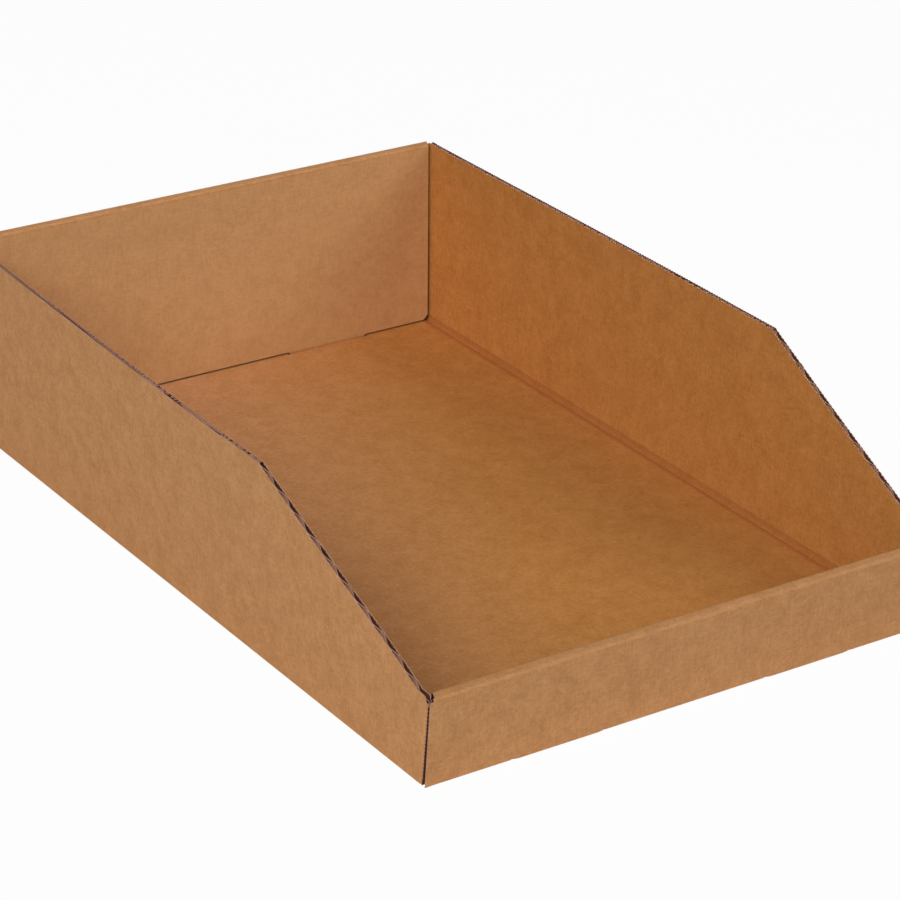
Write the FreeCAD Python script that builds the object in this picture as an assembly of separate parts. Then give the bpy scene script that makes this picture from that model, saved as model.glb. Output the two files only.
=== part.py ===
import FreeCAD, Part
import math
import os

V = FreeCAD.Vector

# An open-top bin folded up from one die-cut blank of corrugated board.
# Millimetres, +Z up, front facing -Y, origin at the middle of the underside.

# Overall size, outside
width = 304.8
depth = 457.2
height = 114.3
front_height = 48.0
slope_run = 135.0            # front face to the point where the side walls reach full height

# Board and creases
board = 3.0                  # caliper of the board
crease_outside = 2.5         # rounding on the outside of a folded crease
crease_inside = 0.5          # rounding on the inside of a folded crease
layer_gap = 0.25             # air between boards folded against each other

# Rolled front and back walls
end_fit = 1.75               # ends of the inner panels to the side walls
floor_fit = 1.0              # lower edges of the inner panels to the floor
strip_setback = 2.2          # ends of the roll-over strip at its outer crease, in from the side
panel_corner = 3.5           # rounding of the outer panels' upper corners
inner_corner = 3.0           # cut across the inner panels' lower corners

# Locking tabs on the inner panels, and the slots they stand in
tab_width = 54.0             # at the root
tab_taper = 3.8              # each side comes in by this much towards the tip
tab_corner = 1.5             # rounding of the tip's corners
tab_spacing = 152.4          # between the centres of a wall's two tabs
tab_rise = 0.4               # tip of the tab above the underside
slot_fit = 0.6               # slot to tab

# Flaps on the ends of the side walls, held inside the rolled walls
flap_length = 72.0           # from the outside of the side wall
flap_lead = 9.0              # cut across the flap's free corners
flap_fit = 1.0               # lower edge of the flap to the floor

# Top edge of the side walls
shoulder_run = 2.6           # length over which it drops to the flap at each end
shoulder_radius = 2.0        # rounding of the back shoulder
kink_radius = 5.0            # rounding between the slope and the level stretch

# The box stands with its side walls bowed: how far their top edges stand out, front to back
left_bow = [4.6, 8.2, 9.5, 8.6, 6.6, 4.4, 2.4]
right_bow = [0.0, 1.6, 2.7, 2.6, 1.9, 0.9, 0.0]

half_width = width / 2
half_depth = depth / 2
crease = board + crease_inside                  # board taken up by a crease
roll = 3 * board + 2 * layer_gap                # thickness of a rolled wall
wall_end = half_depth - board - layer_gap       # the side walls lie between the outer panels
flap_base = board + flap_fit
panel_base = board + floor_fit
panel_end = half_width - board - end_fit        # ends of the inner panels
margin = 1.0                                    # how far a cutter reaches past the board
bow_end = wall_end - crease - margin            # the side walls bow between their corners
root = crease + margin                          # side walls are joined to the floor this far in


def place(axis, u, v, s):
    """Point at (u, v) of the section across an axis, s along that axis."""
    if axis == "x":
        return V(s, u, v)
    if axis == "y":
        return V(u, s, v)
    return V(u, v, s)


def corner_arc(before, corner, after, radius):
    """Start, middle and end of the arc that rounds one corner of an outline."""
    back = (before - corner).normalize()
    ahead = (after - corner).normalize()
    half_angle = back.getAngle(ahead) / 2
    inward = (back + ahead).normalize()
    reach = radius / math.tan(half_angle)
    middle = corner + inward * (radius / math.sin(half_angle) - radius)
    return corner + back * reach, middle, corner + ahead * reach


def outline_wire(axis, outline, station):
    """Closed wire at one station of an axis, from corners (u, v) or (u, v, radius)."""
    corners = [place(axis, p[0], p[1], station) for p in outline]
    radii = [p[2] if len(p) > 2 else 0.0 for p in outline]
    edges = []
    first = pen = None
    for i, corner in enumerate(corners):
        if radii[i] > 0:
            entry, middle, leave = corner_arc(corners[i - 1], corner,
                                              corners[(i + 1) % len(corners)], radii[i])
        else:
            entry = leave = corner
        if pen is not None and pen.distanceToPoint(entry) > 1e-6:
            edges.append(Part.makeLine(pen, entry))
        if radii[i] > 0:
            edges.append(Part.Arc(entry, middle, leave).toShape())
        first = first or entry
        pen = leave
    if pen.distanceToPoint(first) > 1e-6:
        edges.append(Part.makeLine(pen, first))
    return Part.Wire(edges)


def prism(axis, outline, start, end):
    """Solid between two stations of an axis."""
    face = Part.Face(outline_wire(axis, outline, start))
    return face.extrude(place(axis, 0, 0, end - start))


def leaning_prism(plan, base, top, bow):
    """Solid raised from a plan, and leaning out to the left as a side wall bowed this much does."""
    lean = -bow / height
    moved = [(p[0] + lean * base, *p[1:]) for p in plan]
    face = Part.Face(outline_wire("z", moved, base))
    return face.extrude(V(lean * (top - base), 0, top - base))


def block(x0, x1, y0, y1, z0, z1):
    return Part.makeBox(x1 - x0, y1 - y0, z1 - z0, V(x0, y0, z0))


def both_sides(shape):
    return [shape, shape.mirror(V(0, 0, 0), V(1, 0, 0))]


def rolled_sheet():
    """Front wall, floor and back wall as one folded section: outer panel, strip, inner panel."""
    outside, inside = crease_outside, crease_inside
    front, back = -half_depth, half_depth
    section = [
        (front + roll, panel_base),
        (front + roll, front_height, outside),
        (front, front_height, outside),
        (front, 0, outside),
        (back, 0, outside),
        (back, height, outside),
        (back - roll, height, outside),
        (back - roll, panel_base),
        (back - roll + board, panel_base),
        (back - roll + board, height - board, inside),
        (back - board, height - board, inside),
        (back - board, board, inside),
        (front + board, board, inside),
        (front + board, front_height - board, inside),
        (front + roll - board, front_height - board, inside),
        (front + roll - board, panel_base),
    ]
    return prism("x", section, -half_width, half_width)


def wall_trims(facing, top):
    """Cuts at the +X end of a rolled wall; facing is -1 at the front and 1 at the back."""
    outer_face = facing * half_depth
    under_strip = facing * (half_depth - board)
    past_roll = facing * (half_depth - roll - margin)
    strip_end = half_width - strip_setback
    slant = (strip_end - panel_end) / (roll - board)
    ends = prism("z", [
        (strip_end - slant * board, under_strip),
        (panel_end, facing * (half_depth - roll + board)),
        (panel_end, past_roll),
        (half_width + margin, past_roll),
        (half_width + margin, under_strip),
    ], board + crease_inside, top + margin)
    span = sorted((outer_face + facing * margin, facing * (half_depth - roll / 2)))
    rest_of_corner = block(half_width - panel_corner, half_width + margin,
                           span[0], span[1], top - panel_corner, top + margin)
    kept_corner = Part.makeCylinder(panel_corner, span[1] - span[0],
                                    V(half_width - panel_corner, span[0], top - panel_corner),
                                    V(0, 1, 0))
    span = sorted((past_roll, facing * (half_depth - roll + board + layer_gap / 2)))
    lower_corner = prism("y", [
        (panel_end - inner_corner, panel_base),
        (panel_end + margin, panel_base),
        (panel_end + margin, panel_base + inner_corner + margin),
    ], span[0], span[1])
    return [ends, rest_of_corner.cut(kept_corner), lower_corner]


def floor_side_cuts():
    """Strips along the floor's two side edges, whose place the side walls' creases take."""
    edge = block(half_width - crease, half_width + margin,
                 -half_depth + board, half_depth - board, -margin, crease)
    return both_sides(edge)


def tab_stations():
    return [-tab_spacing / 2, tab_spacing / 2]


def tab_outline(centre, half_root, z_root, z_tip):
    """Tapered outline of a locking tab or of the lip that its slot leaves."""
    half_tip = half_root - tab_taper
    return [(centre - half_root, z_root), (centre - half_tip, z_tip, tab_corner),
            (centre + half_tip, z_tip, tab_corner), (centre + half_root, z_root)]


def slot_cuts(facing):
    """Slots at the foot of a wall: through the floor, and through the crease to the lip."""
    half_slot = tab_width / 2 + slot_fit
    outer_face = facing * (half_depth + margin)
    inner_face = facing * (half_depth - board)
    slot_end = facing * (half_depth - roll - slot_fit)
    cuts = []
    for centre in tab_stations():
        low, high = sorted((inner_face, slot_end))
        cuts.append(block(centre - half_slot, centre + half_slot, low, high, -margin, crease))
        low, high = sorted((outer_face, inner_face))
        cuts.append(block(centre - half_slot, centre + half_slot, low, high, -margin, crease_outside))
    return cuts


def tabs_and_lips(facing):
    """Locking tabs hanging from an inner panel, and lips at the foot of the outer panel."""
    tab_faces = sorted((facing * (half_depth - roll), facing * (half_depth - roll + board)))
    lip_faces = sorted((facing * half_depth, facing * (half_depth - board)))
    pieces = []
    for centre in tab_stations():
        tab = tab_outline(centre, tab_width / 2, panel_base, tab_rise)
        lip = tab_outline(centre, tab_width / 2 + slot_fit, crease_outside, 0)
        pieces.append(prism("y", tab, tab_faces[0], tab_faces[1]))
        pieces.append(prism("y", lip, lip_faces[0], lip_faces[1]))
    return pieces


def end_flap(facing, strip_height, bow):
    """Flap folded in from one end of the left side wall, with its upright crease."""
    end = facing * wall_end
    inner = facing * (wall_end - board)
    bend = facing * (wall_end - crease)
    side = -half_width
    tip = side + flap_length
    past = tip + margin
    plan = [(side, bend), (side, end, crease_outside), (tip, end), (tip, inner),
            (side + board, inner, crease_inside), (side + board, bend)]
    flap_top = strip_height - board - layer_gap
    low, high = sorted((end, bend))
    above = height + margin
    over = prism("y", [(side + board - bow * flap_top / height, flap_top), (past, flap_top),
                       (past, above), (side + board - bow * above / height, above)], low, high)
    upper = prism("y", [(tip - flap_lead, flap_top), (past, flap_top),
                        (past, flap_top - flap_lead), (tip, flap_top - flap_lead)], low, high)
    lower = prism("y", [(tip - flap_lead, flap_base), (past, flap_base),
                        (past, flap_base + flap_lead), (tip, flap_base + flap_lead)], low, high)
    return leaning_prism(plan, flap_base, height, bow).cut([over, upper, lower])


def top_edge():
    """Everything under the top edge of a side wall: front shoulder, slope, level, back shoulder."""
    rise = (height - front_height) / slope_run
    front_shoulder = -wall_end + shoulder_run
    outline = [
        (-wall_end, -margin),
        (-wall_end, front_height - board - layer_gap),
        (front_shoulder, front_height + rise * (front_shoulder + half_depth)),
        (-half_depth + slope_run, height, kink_radius),
        (wall_end - shoulder_run, height, shoulder_radius),
        (wall_end, height - board - layer_gap),
        (wall_end, -margin),
    ]
    return prism("x", outline, -half_width - max(left_bow) - margin, -half_width + flap_length + margin)


def wall_section(bow):
    """Section of the left side wall where it is bowed this much, from its root in the floor."""
    side = -half_width
    return [(side + root, 0), (side, 0, crease_outside), (side - bow, height),
            (side + board - bow, height), (side + board - bow * board / height, board, crease_inside),
            (side + root, board)]


def wall_corner(facing, bow):
    """Upright stretch at one end of the left side wall, rounded over into its flap."""
    side = -half_width
    start, end = facing * bow_end, facing * wall_end
    plan = [(side, start), (side, end, crease_outside), (side + root, end), (side + root, start)]
    low, high = sorted((start, end))
    return prism("y", wall_section(bow), low, high).common(
        leaning_prism(plan, -margin, height + margin, bow))


def side_wall(bow):
    """Left side wall with its end flaps; bow is spread evenly from the front end to the back."""
    spacing = depth / (len(bow) - 1)
    places = [-bow_end] + [-half_depth + i * spacing for i in range(1, len(bow) - 1)] + [bow_end]
    sections = [outline_wire("y", wall_section(out), y) for y, out in zip(places, bow)]
    wall = Part.makeLoft(sections, True)
    ends = [wall_corner(-1, bow[0]), wall_corner(1, bow[-1]),
            end_flap(-1, front_height, bow[0]), end_flap(1, height, bow[-1])]
    return wall.fuse(ends).common(top_edge())


def bin_box():
    trims = []
    for facing, top in ((-1, front_height), (1, height)):
        for cutter in wall_trims(facing, top):
            trims += both_sides(cutter)
        trims += slot_cuts(facing)
    sheet = rolled_sheet().cut(trims + floor_side_cuts())
    right_wall = side_wall(right_bow).mirror(V(0, 0, 0), V(1, 0, 0))
    added = tabs_and_lips(-1) + tabs_and_lips(1) + [side_wall(left_bow), right_wall]
    return sheet.fuse(added).removeSplitter()


os.makedirs("parts", exist_ok=True)
shape = bin_box()
shape.exportStep("parts/bin_box.step")
print("solids", len(shape.Solids), "valid", shape.isValid(), "volume", round(shape.Volume))
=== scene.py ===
import math
import bpy
from mathutils import Matrix, Vector


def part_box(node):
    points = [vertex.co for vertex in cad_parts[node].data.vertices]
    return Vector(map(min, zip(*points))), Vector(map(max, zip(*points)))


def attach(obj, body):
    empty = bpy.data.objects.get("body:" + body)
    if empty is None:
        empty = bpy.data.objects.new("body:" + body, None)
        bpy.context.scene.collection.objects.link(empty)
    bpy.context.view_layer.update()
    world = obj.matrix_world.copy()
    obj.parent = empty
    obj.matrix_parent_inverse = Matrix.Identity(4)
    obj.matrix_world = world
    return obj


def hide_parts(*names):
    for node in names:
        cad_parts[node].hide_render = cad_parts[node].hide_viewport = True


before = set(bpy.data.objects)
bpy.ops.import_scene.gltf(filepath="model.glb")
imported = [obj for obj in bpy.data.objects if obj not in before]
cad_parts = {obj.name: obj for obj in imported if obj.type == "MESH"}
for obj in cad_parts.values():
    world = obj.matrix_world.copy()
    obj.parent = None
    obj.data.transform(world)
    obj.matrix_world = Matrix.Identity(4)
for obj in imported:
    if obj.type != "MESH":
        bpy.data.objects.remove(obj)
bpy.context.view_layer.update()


# ---------------------------------------------------------------------------------------------
# Outer liner: the kraft paper on the outside of the corrugated board. It runs in one piece over
# the floor, the side walls and their end flaps, and over the rolled front and back walls, where
# it comes round again to face the inside of the bin.

mm = 0.001
far_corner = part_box("bin_box")[1]
half_width = 152.4 * mm                  # of the floor, between the feet of the side walls
half_depth, height = far_corner.y, far_corner.z
front_height = 48 * mm
slope_run = 135 * mm                     # front face to where the side walls reach full height
slope_foot = 45.3 * mm                   # height of the slope where it would meet the front face
board = 3 * mm                           # caliper of the board
paper = 0.36 * mm                        # caliper of one liner
layer_gap = 0.25 * mm                    # between the layers of a rolled wall
roll = 3 * board + 2 * layer_gap         # thickness of a rolled wall
wall_end = half_depth - board - layer_gap               # outer face of the flaps
panel_base = board + 1.0 * mm            # lower edge of the inner panels and flaps
panel_end = half_width - board - 1.75 * mm              # raw upright ends of the inner panels
panel_foot = 0.3 * mm                    # raw lower edge of an outer panel's ends
strip_end = half_width - 2.2 * mm        # ends of the outer crease of a roll-over strip
corner_ease = 1.0 * mm                   # last stretch of the outer panels' rounded corners
corner_drop = 1.4 * mm                   # and how far it slopes down
inner_corner = 3 * mm                    # cut off the lower corners of the inner panels

flap_free_end = half_width - 72 * mm
flap_turn = 147.5 * mm                   # where a flap lies flat in its rolled wall
flap_lead = 9 * mm                       # cut back at a flap's free corners
shoulder_run = 2.6 * mm                  # slant from a flap's top to the side wall's top edge
one_row = 12 * mm                        # a little more than the rows of a wall are high

tab_centre = 76.2 * mm                   # from the middle of the bin
tab_half = 27 * mm                       # half the width of a locking tab at its root
tab_taper = 3.8 * mm                     # lost on each side by its tip
tab_tip = 0.4 * mm                       # height of the tip above the ground
tab_ease = 1.0 * mm                      # corners of the tips
slot_half = tab_half + 0.6 * mm

rolled_radius = 1.8 * mm                 # rounding of the rolled walls' upper creases
outside_radius = 0.7 * mm                # of the creases at the floor
upright_radius = 1.8 * mm                # of the folds between side walls and flaps
inside_radius = 0.5 * mm
crease = board + inside_radius           # width of board that a crease takes up
floor_length = 2 * (wall_end - crease)   # between the ends of the side walls

flute_pitch = 6.4 * mm
tooth = 1.1 * mm                         # half the pitch of the die knife's serration
tooth_depth = 0.42 * mm
floor_rows = 2 * round(floor_length / tooth / 2)
slot_end = floor_length / 2 * (1 - 6 / floor_rows)      # on the third row from the floor's end

X, Y, Z = Vector((1, 0, 0)), Vector((0, 1, 0)), Vector((0, 0, 1))
near = 0.02 * mm                         # within this, two places are the same


def edit(piece):
    """Opens one piece for editing, with nothing else selected."""
    if bpy.context.object and bpy.context.object.mode != "OBJECT":
        bpy.ops.object.mode_set(mode="OBJECT")
    bpy.ops.object.select_all(action="DESELECT")
    piece.select_set(True)
    bpy.context.view_layer.objects.active = piece
    bpy.ops.object.mode_set(mode="EDIT")


def close():
    """Ends the editing of a piece."""
    bpy.ops.object.mode_set(mode="OBJECT")


def pick_points(piece, test):
    """Opens a piece with the points selected whose place passes the test."""
    edit(piece)
    bpy.ops.mesh.select_mode(type="VERT")
    bpy.ops.mesh.select_all(action="DESELECT")
    close()
    for point in piece.data.vertices:
        point.select = test(point.co)
    bpy.ops.object.mode_set(mode="EDIT")
    bpy.ops.mesh.select_mode(type="VERT")


def pick_edges(piece, test):
    """Opens a piece with the edges selected whose two ends pass the test."""
    edit(piece)
    bpy.ops.mesh.select_mode(type="EDGE")
    bpy.ops.mesh.select_all(action="DESELECT")
    close()
    points = piece.data.vertices
    for edge in piece.data.edges:
        edge.select = test(points[edge.vertices[0]].co, points[edge.vertices[1]].co)
    bpy.ops.object.mode_set(mode="EDIT")
    bpy.ops.mesh.select_mode(type="EDGE")


def pick_faces(piece, test):
    """Opens a piece with the faces selected whose middle passes the test."""
    edit(piece)
    bpy.ops.mesh.select_mode(type="FACE")
    bpy.ops.mesh.select_all(action="DESELECT")
    close()
    for face in piece.data.polygons:
        face.select = test(face.center)
    bpy.ops.object.mode_set(mode="EDIT")
    bpy.ops.mesh.select_mode(type="FACE")


def at(value, place):
    return abs(value - place) < near


def draw_out(*steps):
    """Extrudes the selected edge through a row of moves."""
    for step in steps:
        if step.length > near:
            bpy.ops.mesh.extrude_region_move(TRANSFORM_OT_translate={"value": step})


def bend(radius, along, towards, segments=6):
    """Moves that carry an edge round a crease, from heading along to heading towards."""
    steps = []
    reached = Vector((0, 0, 0))
    for k in range(1, segments + 1):
        turn = math.pi / 2 * k / segments
        point = radius * (math.sin(turn) * along + (1 - math.cos(turn)) * towards)
        steps.append(point - reached)
        reached = point
    return steps


def score_across(piece, places, normal):
    """Cuts all of a flat piece along lines square to the normal."""
    for place in places:
        pick_points(piece, lambda p: True)
        bpy.ops.mesh.bisect(plane_co=normal * place, plane_no=normal, threshold=near / 20)
        close()


def trim(piece, test, place, away):
    """Cuts off what lies past a plane, among the faces that pass the test."""
    away = away.normalized()
    pick_faces(piece, test)
    bpy.ops.mesh.bisect(plane_co=place + away * near / 4, plane_no=away, threshold=near / 20,
                        clear_outer=True)
    close()


def delete_faces(piece, test):
    """Takes out the faces whose middle passes the test."""
    pick_faces(piece, test)
    bpy.ops.mesh.delete(type="FACE")
    close()


def shift(piece, test, move):
    """Moves the points whose place passes the test."""
    pick_points(piece, test)
    bpy.ops.transform.translate(value=move)
    close()


def row_count(length):
    """Rows half a tooth's pitch high in a panel of this length, always an even number."""
    return round(length / tooth / 2) * 2


def slice_rows(sheet, test, length):
    """Divides the upright edges of one panel into rows half a tooth's pitch apart."""
    pick_edges(sheet, lambda a, b: test(a) and test(b) and abs(a.z - b.z) > length - near)
    bpy.ops.mesh.subdivide(number_cuts=row_count(length) - 1)
    close()


def odd_row(value, start, length):
    """Whether a point lies on every second row of a stretch that slice_rows divided."""
    row = (value - start) * row_count(length) / length
    return abs(row - round(row)) < 0.05 and round(row) % 2 == 1


def in_slot(x, half=slot_half):
    """Whether x lies within one of the two slots, or the two tabs, of a rolled wall."""
    return abs(abs(x) - tab_centre) < half + near


def flap_top(wall_height):
    """Top of a flap, just under the strip of its rolled wall."""
    return wall_height - board - layer_gap


def in_side_wall(p, side, edge):
    """Whether a point belongs to a side wall, or to its crease with the floor that ends at edge."""
    x, y = p.x * side, abs(p.y)
    return (x > edge + near and y < floor_length / 2 + near) or (
        x > half_width - crease - near and p.z > board and y < wall_end + near)


def in_flap(p, side, facing, wall_height):
    """Whether a point belongs to the flap of one side wall in one rolled wall."""
    return (p.x * side > flap_free_end - near and wall_end - board - near < p.y * facing < wall_end + near
            and panel_base - near < p.z < flap_top(wall_height) + near)


def floor_sheet(name, edge, level):
    """Floor of a liner, in rows half a tooth's pitch apart between the ends of the side walls."""
    bpy.ops.object.select_all(action="DESELECT")
    bpy.ops.mesh.primitive_grid_add(x_subdivisions=1, y_subdivisions=floor_rows, size=1,
                                    location=(0, 0, level))
    sheet = bpy.context.object
    sheet.name = sheet.data.name = name
    sheet.scale = (2 * edge, floor_length, 1)
    bpy.ops.object.transform_apply(location=True, rotation=True, scale=True)
    columns = [tab_centre + half for half in (-slot_half, -tab_half, tab_half, slot_half)]
    score_across(sheet, [-x for x in columns] + [0.0] + columns, X)
    return sheet


def fold_rolled_wall(sheet, facing, wall_height, edge, inset, radius, foot_radius):
    """Front or back wall from the floor's end: outer panel, roll-over strip, inner panel."""
    out = Y * facing
    panel_face = half_depth - inset
    inner_face = half_depth - roll + inset
    shoulder = wall_height - inset - radius
    foot = inset + foot_radius
    pick_points(sheet, lambda p: at(p.y * facing, floor_length / 2) and at(p.z, inset))
    draw_out(out * (panel_face - foot_radius - floor_length / 2))
    draw_out(*bend(foot_radius, out, Z))
    draw_out(Z * (shoulder - foot))
    close()
    for side in (-1, 1):
        pick_points(sheet, lambda p: at(p.x * side, edge) and at(p.y * facing, panel_face))
        draw_out(X * side * (strip_end - edge), X * side * (half_width - corner_ease - strip_end),
                 X * side * corner_ease)
        close()
        pick_points(sheet, lambda p: at(p.z, foot) and p.x * side > edge - near
                    and at(p.y * facing, panel_face))
        draw_out(-Z * (foot - panel_foot))
        close()
    slice_rows(sheet, lambda p: at(p.y * facing, panel_face), shoulder - foot)
    pick_points(sheet, lambda p: at(p.z, shoulder) and at(p.y * facing, panel_face)
                and abs(p.x) < strip_end + near)
    draw_out(*bend(radius, Z, -out))
    draw_out(-out * (roll - 2 * inset - 2 * radius))
    draw_out(*bend(radius, -out, -Z))
    draw_out(-Z * (shoulder - panel_base))
    close()
    slice_rows(sheet, lambda p: at(p.y * facing, inner_face), shoulder - panel_base)
    for side in (-1, 1):
        shift(sheet, lambda p: at(p.x * side, half_width) and at(p.z, shoulder) and p.y * facing > 0,
              -Z * corner_drop)
        narrow_strip(sheet, side, facing, edge,
                     lambda p: at(p.y * facing, panel_face) and p.z < shoulder + near)
        trim(sheet, lambda p: at(p.y * facing, inner_face) and panel_base < p.z < panel_base + one_row,
             Vector(((panel_end - inner_corner) * side, 0, panel_base)), X * side - Z)
    open_slots(sheet, facing, panel_face, inner_face, foot)


def narrow_strip(sheet, side, facing, edge, in_outer_panel):
    """The ends of the strip slant in from the outer crease, and the inner panel is shorter.

    Each step moves in what lies further than its depth from the outer face.
    """
    for depth, move in ((0.7 * mm, 0.4 * mm), (1.8 * mm, 0.6 * mm), (3.3 * mm, 1.0 * mm),
                        (5.9 * mm, strip_end - panel_end - 2 * mm)):
        shift(sheet, lambda p: p.x * side > edge - inner_corner and p.z > panel_base - near
              and half_depth - roll - near < p.y * facing < half_depth - depth + near
              and not in_outer_panel(p), -X * side * move)


def open_slots(sheet, facing, panel_face, inner_face, foot):
    """Slots at the foot of a rolled wall, with the lips and the locking tabs that go with them."""
    delete_faces(sheet, lambda p: p.y * facing > slot_end and in_slot(p.x) and p.z < foot)
    for centre in (-tab_centre, tab_centre):
        pick_points(sheet, lambda p: at(p.z, foot) and at(p.y * facing, panel_face)
                    and abs(p.x - centre) < slot_half + near)
        draw_out(-Z * foot)
        close()
        pick_points(sheet, lambda p: at(p.z, panel_base) and at(p.y * facing, inner_face)
                    and abs(p.x - centre) < tab_half + near)
        draw_out(-Z * (panel_base - tab_tip))
        close()
        for side in (-1, 1):
            taper(sheet, lambda p: at(p.y * facing, panel_face) and p.z < foot, centre, side,
                  slot_half, outside_radius, 0.0)
            taper(sheet, lambda p: at(p.y * facing, inner_face) and p.z < panel_base, centre, side,
                  tab_half, panel_base, tab_tip)


def taper(sheet, test, centre, side, half_root, root, tip):
    """Slants one side of a lip or tab in towards its tip, and eases the corner there."""
    def there(p):
        return test(p) and abs(p.x - centre) < slot_half

    corner = Vector((centre + (half_root - tab_taper) * side, 0, tip))
    slant = Vector(((root - tip) * side, 0, -tab_taper)).normalized()
    trim(sheet, there, corner, slant)
    trim(sheet, there, corner - X * side * tab_ease, slant - Z)


def raise_side_wall(sheet, side, edge, inset, crease_steps, foot):
    """Side wall from the floor's edge: its crease, then rows up to full height."""
    pick_points(sheet, lambda p: at(p.x * side, edge) and at(p.z, inset)
                and abs(p.y) < floor_length / 2 + near)
    draw_out(*crease_steps)
    for level in (panel_base, 14 * mm, 24 * mm, 34 * mm, flap_top(front_height), 56 * mm, 68 * mm,
                  80 * mm, 92 * mm, 102 * mm, flap_top(height), height):
        if level > foot + near:
            draw_out(Z * (level - foot))
            foot = level
    close()


def round_off_foot(sheet, side, facing, radius, foot):
    """Carries the crease at the floor round the corner below an upright fold."""
    turn = Vector(((half_width - radius) * side, (floor_length / 2 + crease - radius) * facing, 0))
    pick_points(sheet, lambda p: p.x * side > abs(turn.x) - near and at(p.y * facing, floor_length / 2)
                and p.z < foot + near)
    draw_out(Y * facing * (crease - radius))
    bpy.ops.mesh.spin(steps=6, angle=-math.pi / 2 * side * facing, center=turn, axis=Z)
    close()


def fold_flaps(sheet, side, inset, radius, foot):
    """End flaps of a side wall, turned in behind the outer panels, and the shoulders above."""
    face = (half_width - inset) * side
    for facing, wall_height in ((-1, front_height), (1, height)):
        out = Y * facing
        end = floor_length / 2 * facing
        top = flap_top(wall_height)
        pick_points(sheet, lambda p: at(p.x, face) and at(p.y, end)
                    and top - near < p.z < top + one_row)
        draw_out(out * crease)
        close()
        pick_points(sheet, lambda p: at(p.x, face) and at(p.y, end)
                    and foot - near < p.z < top + near)
        draw_out(out * (crease - inset - radius))
        draw_out(*bend(radius, out, -X * side))
        draw_out(-X * side * (half_width - inset - radius - flap_turn),
                 -X * side * (flap_turn - flap_free_end))
        close()
        for level, away in ((top, Z), (panel_base, -Z)):
            trim(sheet, lambda p: in_flap(p, side, facing, wall_height) and abs(p.x) < flap_turn,
                 Vector(((flap_free_end + flap_lead) * side, 0, level)), away - X * side)


def cut_top_edge(sheet, side, edge, recess=0.0):
    """Outline of a side wall: shoulder, slope up from the front, level stretch, back shoulder."""
    slope = Vector((0, slope_run, height - slope_foot))
    start = Vector((0, -half_depth, slope_foot))
    front_end = Vector((0, -wall_end, flap_top(front_height)))
    front_top = start + slope * ((half_depth - wall_end + shoulder_run) / slope_run)
    back_end = Vector((0, wall_end, flap_top(height)))
    back_top = Vector((0, wall_end - shoulder_run, height))
    for place, run in ((start, slope), (front_end, front_top - front_end),
                       (back_end, back_end - back_top), (back_top, Y)):
        away = X.cross(run).normalized()
        trim(sheet, lambda p: in_side_wall(p, side, edge), place - away * recess, away)


def serrate(sheet, inset, radius, foot_radius):
    """Teeth left by the die knife: every second point of a raw edge is set back a little."""
    slope = Vector((0, slope_run, height - slope_foot)).normalized()
    lift = X.cross(slope)
    slope_level = lift.dot(Vector((0, -half_depth, slope_foot)))
    for side in (-1, 1):
        for facing, wall_height in ((-1, front_height), (1, height)):
            shoulder = wall_height - inset - radius
            foot = inset + foot_radius
            shift(sheet, lambda p: at(p.x * side, half_width) and at(p.y * facing, half_depth - inset)
                  and foot + near < p.z < shoulder - near and odd_row(p.z, foot, shoulder - foot),
                  -X * side * tooth_depth)
            shift(sheet, lambda p: at(p.x * side, panel_end)
                  and at(p.y * facing, half_depth - roll + inset) and p.z < shoulder - near
                  and odd_row(p.z, panel_base, shoulder - panel_base), -X * side * tooth_depth)
        for in_edge, back in ((lambda p: at(p.z, height), Z),
                              (lambda p: at(lift.dot(p), slope_level) and p.z < height - near, lift)):
            shift(sheet, lambda p: at(p.x * side, half_width - inset) and in_edge(p)
                  and odd_row(p.y, -floor_length / 2, floor_length), -back * tooth_depth)


outer_edge = half_width - crease
outer_liner = floor_sheet("outer_liner", outer_edge, 0.0)
fold_rolled_wall(outer_liner, -1, front_height, outer_edge, 0.0, rolled_radius, outside_radius)
fold_rolled_wall(outer_liner, 1, height, outer_edge, 0.0, rolled_radius, outside_radius)
for side in (-1, 1):
    to_crease = [X * side * (crease - upright_radius), X * side * (upright_radius - outside_radius)]
    raise_side_wall(outer_liner, side, outer_edge, 0.0, to_crease + bend(outside_radius, X * side, Z),
                    outside_radius)
    for facing in (-1, 1):
        round_off_foot(outer_liner, side, facing, upright_radius, panel_base)
    fold_flaps(outer_liner, side, 0.0, upright_radius, panel_base)
    cut_top_edge(outer_liner, side, outer_edge)
serrate(outer_liner, 0.0, rolled_radius, outside_radius)


def square_up(sheet, down):
    """Turns all faces of a liner the same way, with the floor's facing down or up."""
    pick_points(sheet, lambda p: True)
    bpy.ops.mesh.remove_doubles(threshold=near)
    bpy.ops.mesh.dissolve_degenerate(threshold=near)
    bpy.ops.mesh.normals_make_consistent(inside=False)
    close()
    middle = min(sheet.data.polygons, key=lambda f: f.center.length)
    if (middle.normal.z < 0) != down:
        pick_points(sheet, lambda p: True)
        bpy.ops.mesh.flip_normals()
        close()


# How the folded box stands: its rolled walls lean out a little, and its side walls spread
# between them, most where the slope begins.
front_lean = math.radians(2.9)
back_lean = math.radians(0.5)
left_spread = [1.0, 7.2, 9.5, 8.6, 6.6, 4.4, 2.4]       # mm at the top edge, front to back
right_spread = [4.6, 2.2, 2.3, 2.5, 1.9, 0.9, 0.0]
pinch = 3.1 * mm                         # how much thinner a rolled wall is pressed at its top


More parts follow.
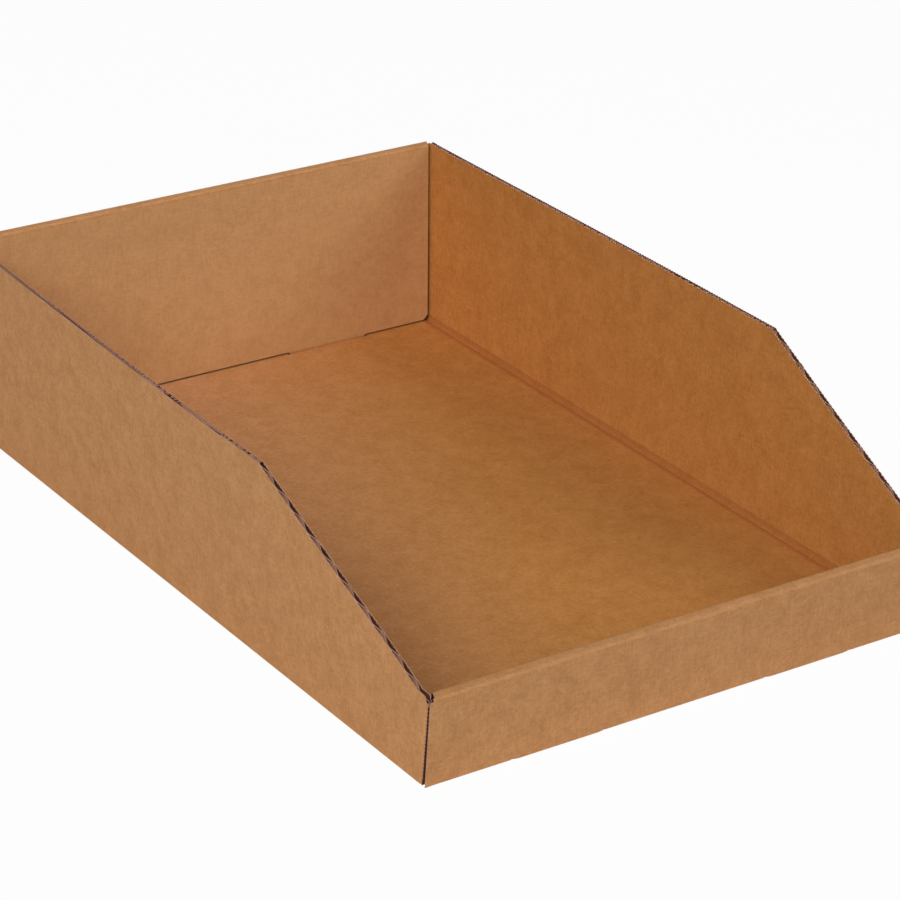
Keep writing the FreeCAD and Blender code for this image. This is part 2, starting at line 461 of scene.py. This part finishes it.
def in_rolled_wall(p, facing, wall_height):
    """Whether a point of the folded box leans with its front or back wall."""
    aside, out = abs(p.x), p.y * facing
    if out < half_depth - roll - near or out > half_depth + near:
        return False
    if aside > panel_end + near and floor_length / 2 + near < out < wall_end + near:
        return p.z > panel_base - near
    if p.z > wall_height - board - near:
        return aside < half_width - board - 0.1 * mm or out > wall_end + near
    if out > wall_end + near:
        return p.z > outside_radius - near or at(out, half_depth) or at(out, half_depth - board)
    if out > wall_end - board - near and p.z < flap_top(wall_height) + near:
        return aside < flap_turn + near and p.z > panel_base - near
    return aside < panel_end + near and (p.z > board + 0.2 * mm or in_slot(p.x, tab_half))


def bend_in_cage(sheet, group, centre, size, counts, pushes):
    """Bends one group of points with a lattice; pushes maps the lattice's points to their moves."""
    bpy.ops.object.select_all(action="DESELECT")
    bpy.ops.object.add(type="LATTICE", location=centre)
    cage = bpy.context.object
    cage.data.points_u, cage.data.points_v, cage.data.points_w = counts
    cage.data.interpolation_type_u = cage.data.interpolation_type_w = "KEY_LINEAR"
    cage.data.interpolation_type_v = "KEY_CATMULL_ROM" if counts[1] > 2 else "KEY_LINEAR"
    cage.scale = size
    for i, point in enumerate(cage.data.points):
        push = pushes(point.co, (i // 2) % counts[1])
        point.co_deform.x += push.x / size[0]
        point.co_deform.y += push.y / size[1]
    bpy.ops.object.select_all(action="DESELECT")
    sheet.select_set(True)
    bpy.context.view_layer.objects.active = sheet
    bpy.ops.object.modifier_add(type="LATTICE")
    bending = sheet.modifiers[-1]
    bending.object = cage
    bending.vertex_group = sheet.vertex_groups[group].name
    bpy.ops.object.modifier_apply(modifier=bending.name)
    bpy.data.objects.remove(cage)


def settle_walls(sheet, edge):
    """Pinches and leans the rolled walls, then spreads the side walls with their flaps."""
    rolled = ((-1, front_height), (1, height))
    for facing, wall_height in rolled:
        pick_points(sheet, lambda p: in_rolled_wall(p, facing, wall_height))
        bpy.ops.object.vertex_group_assign_new()
        close()
    for side in (-1, 1):
        pick_points(sheet, lambda p: in_side_wall(p, side, edge)
                    or in_flap(p, side, -1, front_height) or in_flap(p, side, 1, height))
        bpy.ops.object.vertex_group_assign_new()
        close()
    # moves are worked out here while every point is still where the fold left it
    leaning = [[v.index for v in sheet.data.vertices if in_rolled_wall(v.co, facing, wall_height)]
               for facing, wall_height in rolled]
    for group, (facing, wall_height) in enumerate(rolled):
        bend_in_cage(sheet, group, (0, facing * (half_depth - roll / 2), wall_height / 2),
                     (2 * half_width, roll, wall_height), (2, 2, 2),
                     lambda co, k: Y * facing * (pinch if co.z > 0 and co.y * facing < 0 else 0))
    for points, (facing, wall_height), lean in zip(leaning, rolled, (front_lean, back_lean)):
        chosen = set(points)
        edit(sheet)
        bpy.ops.mesh.select_mode(type="VERT")
        bpy.ops.mesh.select_all(action="DESELECT")
        close()
        for point in sheet.data.vertices:
            point.select = point.index in chosen
        bpy.ops.object.mode_set(mode="EDIT")
        bpy.ops.transform.rotate(value=lean * facing, orient_axis="X",
                                 center_override=(0, facing * (half_depth - board / 2), board / 2))
        close()
    for group, side, spread in ((2, -1, left_spread), (3, 1, right_spread)):
        bend_in_cage(sheet, group, (side * half_width, 0, height / 2),
                     (half_width, 2 * half_depth, height), (2, len(spread), 2),
                     lambda co, k: X * side * (spread[k] * mm if co.z > 0 else 0))
    bpy.ops.object.vertex_group_remove(all=True)


def thicken(sheet, thickness, offset, face, back, raw_edge):
    """Gives a paper its caliper, with its own look on the face, the back and the cut edges."""
    for look in (face, back, raw_edge):
        sheet.data.materials.append(look)
    bpy.ops.object.select_all(action="DESELECT")
    sheet.select_set(True)
    bpy.context.view_layer.objects.active = sheet
    bpy.ops.object.modifier_add(type="SOLIDIFY")
    gauge = sheet.modifiers[-1]
    gauge.thickness = thickness
    gauge.offset = offset
    gauge.material_offset = 1
    gauge.material_offset_rim = 2
    bpy.ops.object.modifier_apply(modifier=gauge.name)
    bpy.ops.object.shade_smooth_by_angle(angle=math.radians(35))


def kraft(name, light, dark, speck, painted_lit_pair=None):
    """Kraft paper: cloudy mottle, fibres, dark specks and the flutes showing through as ribs.

    The mottle runs between the light and the dark colour. Given a second, paler pair, the paper
    also paints light: it turns to that pair towards the back left, standing for the key lamp's
    pale light on the floor there, and keeps the first pair towards the right wall's shadow.
    """
    material = bpy.data.materials.new(name)
    material.use_nodes = True
    nodes, links = material.node_tree.nodes, material.node_tree.links
    shader = nodes["Principled BSDF"]
    shader.inputs["Specular IOR Level"].default_value = 0.25
    coords = nodes.new("ShaderNodeTexCoord")

    def noise(scale, stretch=(1, 1, 1), detail=2.0, roughness=0.5):
        """Noise of so many grains to the metre, drawn out along the axis with a small stretch."""
        mapping = nodes.new("ShaderNodeMapping")
        mapping.inputs["Scale"].default_value = stretch
        texture = nodes.new("ShaderNodeTexNoise")
        texture.inputs["Scale"].default_value = scale
        texture.inputs["Detail"].default_value = detail
        texture.inputs["Roughness"].default_value = roughness
        links.new(coords.outputs["Object"], mapping.inputs["Vector"])
        links.new(mapping.outputs["Vector"], texture.inputs["Vector"])
        return texture.outputs["Fac"]

    def sums(operation, *terms):
        """One step of arithmetic on numbers or sockets."""
        node = nodes.new("ShaderNodeMath")
        node.operation = operation
        for socket, term in zip(node.inputs, terms):
            if isinstance(term, (int, float)):
                socket.default_value = term
            else:
                links.new(term, socket)
        return node.outputs["Value"]

    def ramp(value, start, end, to_start=0.0, to_end=1.0):
        """Maps start to end onto another stretch, and holds still past either end."""
        node = nodes.new("ShaderNodeMapRange")
        for name, number in (("From Min", start), ("From Max", end),
                             ("To Min", to_start), ("To Max", to_end)):
            node.inputs[name].default_value = number
        links.new(value, node.inputs["Value"])
        return node.outputs["Result"]

    def mix(factor, first, second):
        """Goes from the first colour to the second as the factor goes from 0 to 1."""
        node = nodes.new("ShaderNodeMix")
        node.data_type = "RGBA"
        links.new(factor, node.inputs["Factor"])
        for socket, colour in ((node.inputs["A"], first), (node.inputs["B"], second)):
            if isinstance(colour, tuple):
                socket.default_value = (*colour, 1)
            else:
                links.new(colour, socket)
        return node.outputs["Result"]

    clouds = noise(90, detail=5, roughness=0.7)
    flocks = noise(520, detail=4, roughness=0.7)
    upright = noise(1500, (1, 1, 0.1), detail=2)
    lengthwise = noise(1700, (1, 0.12, 1), detail=2)
    crosswise = noise(1700, (0.12, 1, 1), detail=2)
    fibres = sums("ADD", sums("ADD", upright, lengthwise), crosswise)
    tone = sums("ADD", sums("ADD", sums("MULTIPLY", clouds, 0.55), sums("MULTIPLY", flocks, 0.5)),
                sums("MULTIPLY", fibres, 0.35))
    mottle = ramp(tone, 0.89, 1.21)
    body = mix(mottle, dark, light)
    place = nodes.new("ShaderNodeSeparateXYZ")
    links.new(coords.outputs["Object"], place.inputs["Vector"])
    if painted_lit_pair:
        painted_lit_light, painted_lit_dark = painted_lit_pair
        # painted light: paler towards the back left, where the key lamp lights the floor
        across = sums("ADD", place.outputs["X"], sums("MULTIPLY", place.outputs["Y"], -0.35))
        body = mix(ramp(across, -0.12, 0.05), mix(mottle, painted_lit_dark, painted_lit_light), body)
    cells = nodes.new("ShaderNodeTexVoronoi")
    cells.inputs["Scale"].default_value = 210
    links.new(coords.outputs["Object"], cells.inputs["Vector"])
    parts = nodes.new("ShaderNodeSeparateColor")
    links.new(cells.outputs["Color"], parts.inputs["Color"])
    specks = sums("MULTIPLY", ramp(cells.outputs["Distance"], 0.09, 0.03),
                  ramp(parts.outputs["Red"], 0.86, 0.9))
    colour = mix(sums("MULTIPLY", specks, 0.6), body, speck)
    links.new(colour, shader.inputs["Base Color"])
    links.new(ramp(flocks, 0.3, 0.7, 0.78, 0.9), shader.inputs["Roughness"])

    # the ribs run with the flutes, which lie front to back except in the rolled walls
    facing = nodes.new("ShaderNodeSeparateXYZ")
    links.new(coords.outputs["Normal"], facing.inputs["Vector"])
    on_side = ramp(sums("ABSOLUTE", facing.outputs["X"]), 0.6, 0.8)
    ribs = [sums("SINE", sums("MULTIPLY", place.outputs[axis], 2 * math.pi / flute_pitch)) for axis in "XZ"]
    rib = sums("ADD", sums("MULTIPLY", ribs[1], on_side),
               sums("MULTIPLY", ribs[0], sums("SUBTRACT", 1.0, on_side)))
    relief = sums("ADD", sums("MULTIPLY", rib, 0.012),
                  sums("ADD", sums("MULTIPLY", flocks, 0.06), sums("MULTIPLY", fibres, 0.03)))
    bump = nodes.new("ShaderNodeBump")
    bump.inputs["Distance"].default_value = 1.0 * mm
    bump.inputs["Strength"].default_value = 1.0
    links.new(relief, bump.inputs["Height"])
    links.new(bump.outputs["Normal"], shader.inputs["Normal"])
    return material


square_up(outer_liner, True)
settle_walls(outer_liner, outer_edge)
# painted shade: the back of each liner shows only in the hollows between the flutes, and is painted dark
# for the shade in there
hollow_painted_shade = kraft("hollow_painted_shade_kraft", (0.15, 0.055, 0.028), (0.12, 0.04, 0.02), (0.1, 0.04, 0.015))
cut_edge = kraft("cut_edge", (0.66, 0.4, 0.29), (0.54, 0.3, 0.21), (0.2, 0.09, 0.05))
outer_kraft = kraft("outer_kraft", (0.745, 0.375, 0.157), (0.577, 0.266, 0.097), (0.2, 0.08, 0.03))
thicken(outer_liner, paper, -1, outer_kraft, hollow_painted_shade, cut_edge)
# painted light: the panel turned in at the back gets a paler, less orange kraft than the outside, to cancel
# the orange light bounced onto it inside the bin
outer_liner.data.materials.append(kraft("back_panel_painted_light_kraft", (0.755, 0.435, 0.197), (0.635, 0.342, 0.142),
                                        (0.2, 0.08, 0.03)))
outer_liner.active_material_index = len(outer_liner.data.materials) - 1
turned_in = half_depth - roll
pick_faces(outer_liner, lambda p: turned_in - 0.2 * mm < p.y < turned_in + pinch + 1.6 * mm
           and abs(p.x) < panel_end + near and panel_base < p.z < height - rolled_radius)
bpy.ops.object.material_slot_assign()
close()
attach(outer_liner, "root")
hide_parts("bin_box")


# ---------------------------------------------------------------------------------------------
# Inner liner: the paper on the inside of the board, a browner kraft. It is the floor and the
# faces of the side walls that show inside the bin. The creasing wheel has pressed two grooves
# with a ridge between them into it along the foot of each side wall.

# the pressed crease across a wall's foot, in mm: distance from the wall's face, and height
crease_profile = [(6.2, 3.0), (5.4, 3.0), (5.0, 2.45), (4.4, 2.6), (3.8, 2.95), (3.0, 2.9),
                  (2.2, 2.3), (1.4, 2.0), (0.9, 2.6), (0.5, 3.6), (0.15, 4.8), (0.0, 6.0)]
inner_edge = half_width - board - crease_profile[0][0] * mm
wall_foot = crease_profile[-1][1] * mm
crease_shade_width = 5.5 * mm                        # width of the band of painted shade along the crease at a wall's foot


def crease_moves(side):
    """Moves along the pressed crease, from the floor's edge up to the wall's face."""
    points = [Vector(((half_width - board - d * mm) * side, 0, z * mm)) for d, z in crease_profile]
    return [b - a for a, b in zip(points, points[1:])]


inner_liner = floor_sheet("inner_liner", inner_edge, board)
fold_rolled_wall(inner_liner, -1, front_height, inner_edge, board, inside_radius, inside_radius)
fold_rolled_wall(inner_liner, 1, height, inner_edge, board, inside_radius, inside_radius)
for side in (-1, 1):
    raise_side_wall(inner_liner, side, inner_edge, board, crease_moves(side), wall_foot)
    fold_flaps(inner_liner, side, board, inside_radius, wall_foot)
    cut_top_edge(inner_liner, side, inner_edge)
serrate(inner_liner, board, inside_radius, inside_radius)
square_up(inner_liner, False)
settle_walls(inner_liner, inner_edge)
# painted light: the floor turns paler towards its back left, where the key lamp falls, and stays more
# orange in the right wall's shadow
inner_kraft = kraft("inner_kraft", (0.68, 0.303, 0.084), (0.52, 0.212, 0.047), (0.17, 0.06, 0.02),
                    painted_lit_pair=((0.665, 0.338, 0.166), (0.51, 0.237, 0.094)))
thicken(inner_liner, paper, -1, inner_kraft, hollow_painted_shade, cut_edge)
# painted shade: the paper is darker along the crease at the foot of each side wall, where the wall shades
# the edge of the floor
inner_liner.data.materials.append(kraft("crease_painted_shade_kraft", (0.555, 0.21, 0.055), (0.45, 0.162, 0.037),
                                        (0.15, 0.05, 0.02)))
inner_liner.active_material_index = len(inner_liner.data.materials) - 1
pick_faces(inner_liner, lambda p: -crease_shade_width < abs(p.x) - (half_width - board) < 0.4 * mm
           and abs(p.y) < floor_length / 2 and board / 2 < p.z < wall_foot)
bpy.ops.object.material_slot_assign()
close()
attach(inner_liner, "root")
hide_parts("bin_box")


# ---------------------------------------------------------------------------------------------
# Fluting: the waved paper glued between the liners. Its waves run front to back in the floor,
# side walls and flaps, and upright in the rolled walls, and it shows along every raw edge.

per_wave = 8                             # steps in one wave
wave_step = flute_pitch / per_wave
wave_height = 0.98 * mm                  # of the paper's middle, either side of the board's middle
medium = 0.3 * mm                        # caliper of the waved paper
recess = 0.35 * mm                       # how far it stays behind the liners' cut edges
core = board / 2
wave_foot = 5.25 * mm                    # the side walls' waves start this far above the ground
wave_over = 2.75 * mm                    # and run past the top edge by this much before the cut
flat_zone = 4 * mm                       # no waves are left this close to a rolled crease


def wave(name, width, length, across, along, centre, columns=1, turn=0.0):
    """Waved paper of one panel: waves follow each other across it, flutes run along it."""
    steps = round(width / wave_step)
    bpy.ops.object.select_all(action="DESELECT")
    bpy.ops.mesh.primitive_grid_add(x_subdivisions=steps, y_subdivisions=columns, size=1)
    piece = bpy.context.object
    piece.name = piece.data.name = name
    piece.scale = (steps * wave_step, length, 1)
    bpy.ops.object.transform_apply(location=False, rotation=False, scale=True)
    for k in range(per_wave):
        rise = wave_height * math.cos(2 * math.pi * k / per_wave)
        shift(piece, lambda p: round(p.x / wave_step + steps / 2) % per_wave == k, Z * rise)
    piece.rotation_euler = (Matrix((across, along, across.cross(along))).transposed()
                            @ Matrix.Rotation(turn, 3, "Z")).to_euler()
    piece.location = centre
    bpy.ops.object.select_all(action="DESELECT")
    piece.select_set(True)
    bpy.context.view_layer.objects.active = piece
    bpy.ops.object.transform_apply(location=True, rotation=True, scale=False)
    return piece


def crush_top_edge(wall, side):
    """Along the top the knife has crushed the waved paper over against the inner liner."""
    top_edge = height - recess
    inner_face = (half_width - board + 0.25 * mm) * side
    pick_edges(wall, lambda a, b: at(a.z, top_edge) and at(b.z, top_edge))
    bpy.ops.mesh.subdivide(number_cuts=11)
    close()
    # unevenly: waves of three lengths push some points out and some in
    for rate, reach in ((2600, 0.3 * mm), (1130, 0.25 * mm), (710, -0.15 * mm)):
        shift(wall, lambda p: at(p.z, top_edge) and math.sin(p.y * rate) > 0.75, X * side * reach)
    pick_points(wall, lambda p: at(p.z, top_edge))
    bpy.ops.transform.resize(value=(0.6, 1, 1), center_override=(inner_face, 0, 0))
    for drop, share in ((0.05, 0.6), (0.1, 0.5), (0.05, 0.0)):
        draw_out(-Z * drop * mm)
        bpy.ops.transform.resize(value=(share, 1, 1), center_override=(inner_face, 0, 0))
    close()
    # and has torn it in places, so that the hollow below shows
    delete_faces(wall, lambda p: p.z > top_edge - 0.25 * mm
                 and math.sin(p.y * 1900) + math.sin(p.y * 1130 + 1) > 0.2)


# the floor's waves end short of the creases at its sides and of the folds at its ends
waves = [wave("floor_fluting", 2 * (half_width - 8.5 * mm), 2 * (wall_end - 0.7 * mm), X, Y, Z * core)]
floor_slot = slot_half + recess
score_across(waves[0], (-slot_end + recess, slot_end - recess), Y)
score_across(waves[0], [a * tab_centre + b * floor_slot for a in (-1, 1) for b in (-1, 1)], X)
delete_faces(waves[0], lambda p: in_slot(p.x, floor_slot) and abs(p.y) > slot_end - recess)

# the flutes of the left wall drift out of true with its top edge, which cuts them at a slant
for side, name, crest, drift in ((-1, "left", -0.5 * mm, -0.74), (1, "right", 3.2 * mm, 0.0)):
    middle = (wave_foot + height + wave_over) / 2 - crest
    wall = wave(name + "_wall_fluting", height + wave_over - wave_foot, 2 * half_depth, Z, Y,
                Vector((side * (half_width - core), 0, middle)), columns=24, turn=math.radians(drift))
    for facing in (-1, 1):
        trim(wall, lambda p: True, Y * facing * (wall_end - recess), Y * facing)
    fold_line = wall_end - 2.75 * mm
    score_across(wall, (-fold_line, fold_line), Y)
    score_across(wall, (flap_top(front_height), flap_top(height)), Z)
    delete_faces(wall, lambda p: abs(p.y) > fold_line
                 and p.z < flap_top(height if p.y > 0 else front_height))
    cut_top_edge(wall, side, outer_edge, recess)
    crush_top_edge(wall, side)
    waves.append(wall)
    for facing, wall_height in ((-1, front_height), (1, height)):
        top = flap_top(wall_height) - recess
        flap = wave(name + "_flap_fluting", top - panel_base, flap_turn - flap_free_end - recess, Z, X,
                    Vector((side * (flap_turn + flap_free_end) / 2, facing * (wall_end - core),
                            (top + panel_base) / 2)))
        for level, away in ((top, Z), (panel_base + recess, -Z)):
            trim(flap, lambda p: True, Z * level, away)
            trim(flap, lambda p: True, Vector(((flap_free_end + flap_lead) * side, 0, level)),
                 away - X * side)
        waves.append(flap)

for facing, wall_height, name in ((-1, front_height, "front"), (1, height, "back")):
    wave_top = wall_height - flat_zone
    outer = wave(name + "_panel_fluting", 2 * (half_width - recess), wave_top - recess, X, Z,
                 Vector((0, facing * (half_depth - core), (wave_top + recess) / 2)))
    score_across(outer, (outside_radius + recess,), Z)
    inner = wave(name + "_inner_fluting", 2 * (panel_end - recess), wave_top - tab_tip - recess, X, Z,
                 Vector((0, facing * (half_depth - roll + core), (wave_top + tab_tip + recess) / 2)))
    score_across(inner, (panel_base + recess,), Z)
    for piece, half, root in ((outer, slot_half, outside_radius), (inner, tab_half, panel_base)):
        clear = half - tab_taper + recess
        score_across(piece, [a * tab_centre + b * clear for a in (-1, 1) for b in (-1, 1)], X)
        delete_faces(piece, lambda p: p.z < root + recess and not in_slot(p.x, clear))
    for side in (-1, 1):
        trim(inner, lambda p: p.z > panel_base,
             Vector(((panel_end - inner_corner - recess) * side, 0, panel_base)), X * side - Z)
    strip = wave(name + "_strip_fluting", 2 * (panel_end - recess), roll - 5.5 * mm, X, Y,
                 Vector((0, facing * (half_depth - roll / 2), wall_height - core)))
    waves += [outer, inner, strip]

bpy.ops.object.select_all(action="DESELECT")
for piece in waves:
    piece.select_set(True)
fluting = waves[0]
bpy.context.view_layer.objects.active = fluting
bpy.ops.object.join()
fluting.name = fluting.data.name = "fluting"
pick_points(fluting, lambda p: True)
bpy.ops.mesh.normals_make_consistent(inside=False)
close()
settle_walls(fluting, outer_edge)
medium_kraft = kraft("medium_kraft", (0.5, 0.255, 0.155), (0.4, 0.185, 0.11), (0.2, 0.08, 0.04))
thicken(fluting, medium, 0, medium_kraft, medium_kraft, cut_edge)
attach(fluting, "root")
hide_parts("bin_box")


# ---------------------------------------------------------------------------------------------
# Studio: a pale floor under a white surround, two narrow key lamps from the upper right that
# light the far end and lay the right wall's shadow across the floor of the bin, a large fill
# from high on the left, and a faint lamp low in front.

def any_look(nodes, links):
    """1 for what the camera sees, straight or by way of a gloss or a clear thing, and 0 for light."""
    ray = nodes.new("ShaderNodeLightPath")
    total = ray.outputs["Is Camera Ray"]
    for kind in ("Is Glossy Ray", "Is Transmission Ray"):
        either = nodes.new("ShaderNodeMath")
        either.operation = "MAXIMUM"
        links.new(total, either.inputs[0])
        links.new(ray.outputs[kind], either.inputs[1])
        total = either.outputs["Value"]
    return total


bpy.ops.mesh.primitive_plane_add(size=8, location=(0, 0, -0.4 * mm))
floor = bpy.context.object
floor.name = floor.data.name = "studio_floor"
floor_paint = bpy.data.materials.new("studio_floor")
floor_paint.use_nodes = True
nodes, links = floor_paint.node_tree.nodes, floor_paint.node_tree.links
matte = nodes["Principled BSDF"]
matte.inputs["Base Color"].default_value = (0.82, 0.82, 0.82, 1)
matte.inputs["Roughness"].default_value = 0.9
glow = nodes.new("ShaderNodeEmission")
glow.inputs["Strength"].default_value = 1.0
seen = nodes.new("ShaderNodeMath")
seen.operation = "MULTIPLY"
seen.inputs[1].default_value = 0.97
blend = nodes.new("ShaderNodeMixShader")
links.new(any_look(nodes, links), seen.inputs[0])
links.new(seen.outputs["Value"], blend.inputs["Fac"])
links.new(matte.outputs["BSDF"], blend.inputs[1])
links.new(glow.outputs["Emission"], blend.inputs[2])
links.new(blend.outputs["Shader"], nodes["Material Output"].inputs["Surface"])
floor.data.materials.append(floor_paint)

# a dark sheet under the box is painted shade: it stands for the box's shadow on the floor, so that the
# floor's glow doesn't show up through the slots
bpy.ops.mesh.primitive_plane_add(size=1, location=(1.4 * mm, 1.4 * mm, -0.3 * mm))
shade = bpy.context.object
shade.name = shade.data.name = "painted_shade_under_box"
shade.scale = (2 * half_width - 3.2 * mm, 2 * half_depth - 3.2 * mm, 1)
bpy.ops.object.transform_apply(location=True, rotation=True, scale=True)
shade_paint = bpy.data.materials.new("painted_shade_under_box")
shade_paint.use_nodes = True
shade_paint.node_tree.nodes["Principled BSDF"].inputs["Base Color"].default_value = (0.3, 0.3, 0.3, 1)
shade_paint.node_tree.nodes["Principled BSDF"].inputs["Roughness"].default_value = 0.9
shade.data.materials.append(shade_paint)

world = bpy.data.worlds.new("studio")
bpy.context.scene.world = world
world.use_nodes = True
nodes, links = world.node_tree.nodes, world.node_tree.links
surround = nodes["Background"]
surround.inputs["Color"].default_value = (1.0, 1.0, 1.0, 1)
surround.inputs["Strength"].default_value = 0.02
white = nodes.new("ShaderNodeBackground")
white.inputs["Color"].default_value = (1.0, 1.0, 1.0, 1)
white.inputs["Strength"].default_value = 1.0
blend = nodes.new("ShaderNodeMixShader")
links.new(any_look(nodes, links), blend.inputs["Fac"])
links.new(surround.outputs["Background"], blend.inputs[1])
links.new(white.outputs["Background"], blend.inputs[2])
links.new(blend.outputs["Shader"], nodes["World Output"].inputs["Surface"])


def area_light(name, place, target, size, power, spread=180):
    """A square lamp turned to its target, in metres, watts and degrees."""
    bpy.ops.object.light_add(type="AREA", location=place)
    lamp = bpy.context.object
    lamp.name = lamp.data.name = name
    lamp.rotation_euler = (Vector(place) - Vector(target)).to_track_quat("Z", "Y").to_euler()
    lamp.data.shape = "SQUARE"
    lamp.data.size = size
    lamp.data.energy = power
    lamp.data.spread = math.radians(spread)


area_light("key", (1.485, -0.692, 1.197), (0.0, 0.15, 0.05), 0.7, 0.46, spread=30)
area_light("high_key", (1.04, -0.485, 1.688), (0.0, 0.15, 0.05), 0.7, 0.28, spread=30)
area_light("fill", (-2.92, -1.686, 2.928), (0.0, 0.0, 0.05), 2.6, 112)
area_light("front_fill", (-0.35, -1.2, 0.4), (0.0, 0.0, 0.05), 0.6, 1.6)

bpy.ops.object.camera_add(location=(-0.9411, -1.3772, 0.8387))
camera = bpy.context.object
camera.name = camera.data.name = "camera"
aim = (Matrix.Rotation(math.radians(-34.76), 3, "Z") @ Matrix.Rotation(math.radians(90 - 25.51), 3, "X")
       @ Matrix.Rotation(math.radians(1.72), 3, "Z"))
camera.rotation_euler = aim.to_euler()
camera.data.sensor_width = 36
camera.data.lens = 139.76
camera.data.shift_y = 0.0006
bpy.context.scene.camera = camera
bpy.context.scene.view_settings.view_transform = "Standard"
